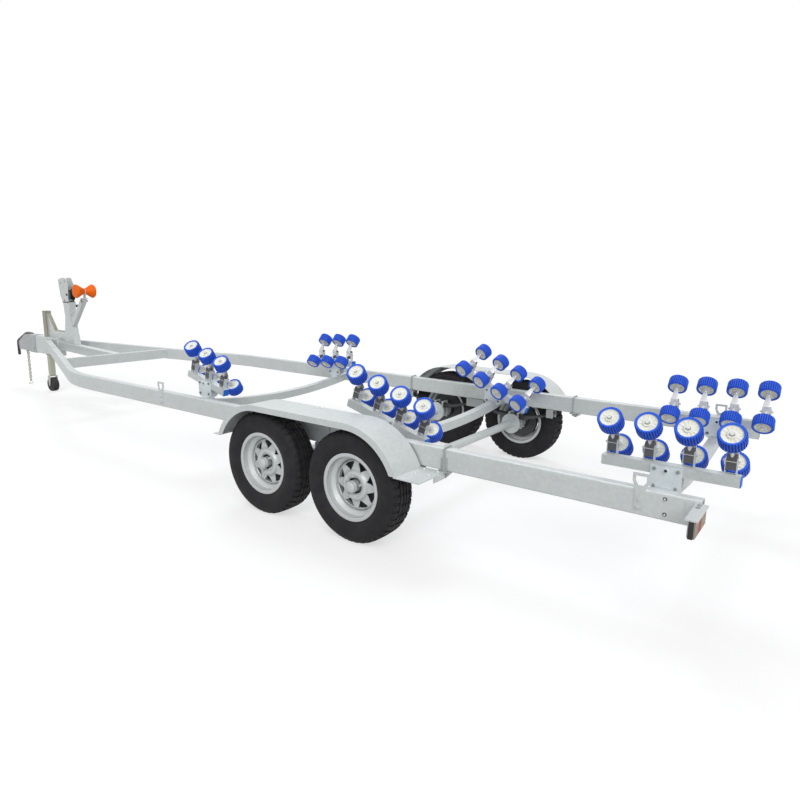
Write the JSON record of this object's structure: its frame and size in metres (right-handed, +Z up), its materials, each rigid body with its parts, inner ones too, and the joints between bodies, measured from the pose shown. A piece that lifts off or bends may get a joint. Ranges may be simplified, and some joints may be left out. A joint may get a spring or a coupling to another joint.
{
  "type": "tandem-axle roller boat trailer",
  "caption": "Galvanised tandem-axle boat trailer with bowed cross members, pivoting banks of rocking blue rollers, winch post, bow roller and jack.",
  "frame": {"origin": "on the ground, under the middle of the outline's length and width", "axes": "+X forward to the coupling, +Y to the trailer's left side, +Z up"},
  "size_m": [8.6189, 2.392, 1.402],
  "materials": {
    "black_parts": "black grip and webbing",
    "black_rubber": "matt black rubber",
    "bow_orange": "satin orange",
    "galvanised": "hot-dip galvanised, satin",
    "lamp": "black housing with a banded lens",
    "rod_steel": "zinc plated bar with a dark bush",
    "roller_blue": "blue ribbed tread on a cream disc",
    "tyre": "matt black rubber",
    "wheel_steel": "galvanised pressed steel",
    "zinc": "zinc plated, slightly yellow"
  },
  "bodies": {
    "chassis": {"axle_clamps": "galvanised", "axle_front": "galvanised", "axle_rear": "galvanised", "bank_hangers_front": "galvanised", "bank_hangers_middle": "galvanised", "bank_hangers_rear": "galvanised", "bow_arm": "galvanised", "coupling": "zinc", "coupling_lever": "black_parts", "cross_member_front": "galvanised", "cross_member_middle": "galvanised", "cross_member_rear": "galvanised", "cross_tube": "galvanised", "drawbar_neck": "galvanised", "drawbar_spine": "galvanised", "fender_brackets": "galvanised", "fenders": "galvanised", "jack_tube": "zinc", "lamp_brackets": "galvanised", "leaf_springs": "galvanised", "rail_left": "galvanised", "rail_right": "galvanised", "safety_chain": "zinc", "spring_hangers": "galvanised", "tail_lamps": "lamp", "tie_downs": "galvanised", "winch_frame": "zinc", "winch_post": "galvanised"},
    "wheel_front_left_body": {"wheel_front_left": "wheel_steel", "tyre_front_left": "tyre"},
    "wheel_front_right_body": {"wheel_front_right": "wheel_steel", "tyre_front_right": "tyre"},
    "wheel_rear_left_body": {"wheel_rear_left": "wheel_steel", "tyre_rear_left": "tyre"},
    "wheel_rear_right_body": {"wheel_rear_right": "wheel_steel", "tyre_rear_right": "tyre"},
    "bank_front_left": {"bank_beam_front_left": "galvanised", "rockers_front_left": "rod_steel", "rollers_front_left": "roller_blue"},
    "bank_front_right": {"bank_beam_front_right": "galvanised", "rockers_front_right": "rod_steel", "rollers_front_right": "roller_blue"},
    "bank_middle_left": {"bank_beam_middle_left": "galvanised", "rockers_middle_left": "rod_steel", "rollers_middle_left": "roller_blue"},
    "bank_middle_right": {"bank_beam_middle_right": "galvanised", "rockers_middle_right": "rod_steel", "rollers_middle_right": "roller_blue"},
    "bank_rear_left": {"bank_beam_rear_left": "galvanised", "rockers_rear_left": "rod_steel", "rollers_rear_left": "roller_blue"},
    "bank_rear_right": {"bank_beam_rear_right": "galvanised", "rockers_rear_right": "rod_steel", "rollers_rear_right": "roller_blue"},
    "winch_drum_body": {"winch_drum": "black_parts"},
    "winch_crank_body": {"winch_crank": "zinc"},
    "bow_roller_body": {"bow_roller": "bow_orange"},
    "jack_leg_body": {"jack_leg": "zinc"},
    "jack_fork_body": {"jack_fork": "zinc"},
    "jack_wheel_body": {"jack_wheel": "black_rubber"}
  },
  "joints": [
    {"name": "spin_front_left", "type": "hinge", "parent": "chassis", "child": "wheel_front_left_body", "pos_m": [-1.7435, 1.0675, 0.325], "axis": [0, 1, 0], "continuous": true},
    {"name": "spin_front_right", "type": "hinge", "parent": "chassis", "child": "wheel_front_right_body", "pos_m": [-1.7435, -1.0675, 0.325], "axis": [0, 1, 0], "continuous": true},
    {"name": "spin_rear_left", "type": "hinge", "parent": "chassis", "child": "wheel_rear_left_body", "pos_m": [-2.4635, 1.0675, 0.325], "axis": [0, 1, 0], "continuous": true},
    {"name": "spin_rear_right", "type": "hinge", "parent": "chassis", "child": "wheel_rear_right_body", "pos_m": [-2.4635, -1.0675, 0.325], "axis": [0, 1, 0], "continuous": true},
    {"name": "pitch_front_left", "type": "hinge", "parent": "chassis", "child": "bank_front_left", "pos_m": [-0.6795, 0.727, 0.661], "axis": [0, -1, 0], "range_deg": [-39.4, 10.6]},
    {"name": "pitch_front_right", "type": "hinge", "parent": "chassis", "child": "bank_front_right", "pos_m": [-0.6795, -0.727, 0.661], "axis": [0, -1, 0], "range_deg": [-22.2, 27.8]},
    {"name": "pitch_middle_left", "type": "hinge", "parent": "chassis", "child": "bank_middle_left", "pos_m": [-2.3785, 0.7, 0.608], "axis": [0, -1, 0], "range_deg": [-41.1, 8.9]},
    {"name": "pitch_middle_right", "type": "hinge", "parent": "chassis", "child": "bank_middle_right", "pos_m": [-2.3785, -0.7, 0.608], "axis": [0, -1, 0], "range_deg": [-49.3, 0.7]},
    {"name": "pitch_rear_left", "type": "hinge", "parent": "chassis", "child": "bank_rear_left", "pos_m": [-3.9885, 0.636, 0.612], "axis": [0, -1, 0], "range_deg": [-24.7, 25.3]},
    {"name": "pitch_rear_right", "type": "hinge", "parent": "chassis", "child": "bank_rear_right", "pos_m": [-3.9885, -0.636, 0.612], "axis": [0, -1, 0], "range_deg": [-22.9, 27.1]},
    {"name": "winch_drum_turn", "type": "hinge", "parent": "chassis", "child": "winch_drum_body", "pos_m": [2.8085, 0, 1.21], "axis": [0, 1, 0], "continuous": true},
    {"name": "winch_crank_turn", "type": "hinge", "parent": "chassis", "child": "winch_crank_body", "pos_m": [2.9085, -0.032, 1.292], "axis": [0, 1, 0], "continuous": true},
    {"name": "bow_roller_spin", "type": "hinge", "parent": "chassis", "child": "bow_roller_body", "pos_m": [2.4765, 0, 1.259], "axis": [0, 1, 0], "continuous": true},
    {"name": "jack_slide", "type": "slide", "parent": "chassis", "child": "jack_leg_body", "axis": [0, 0, 1], "range_m": [-0.1, 0.2]},
    {"name": "jack_swivel", "type": "hinge", "parent": "jack_leg_body", "child": "jack_fork_body", "pos_m": [3.4265, 0, 0.172], "axis": [0, 0, 1], "continuous": true},
    {"name": "jack_wheel_spin", "type": "hinge", "parent": "jack_fork_body", "child": "jack_wheel_body", "pos_m": [3.4265, 0, 0.086], "axis": [0, 1, 0], "continuous": true}
  ],
  "couplings": [
    {"joint": "winch_crank_turn", "follows": "winch_drum_turn", "ratio": -3}
  ]
}
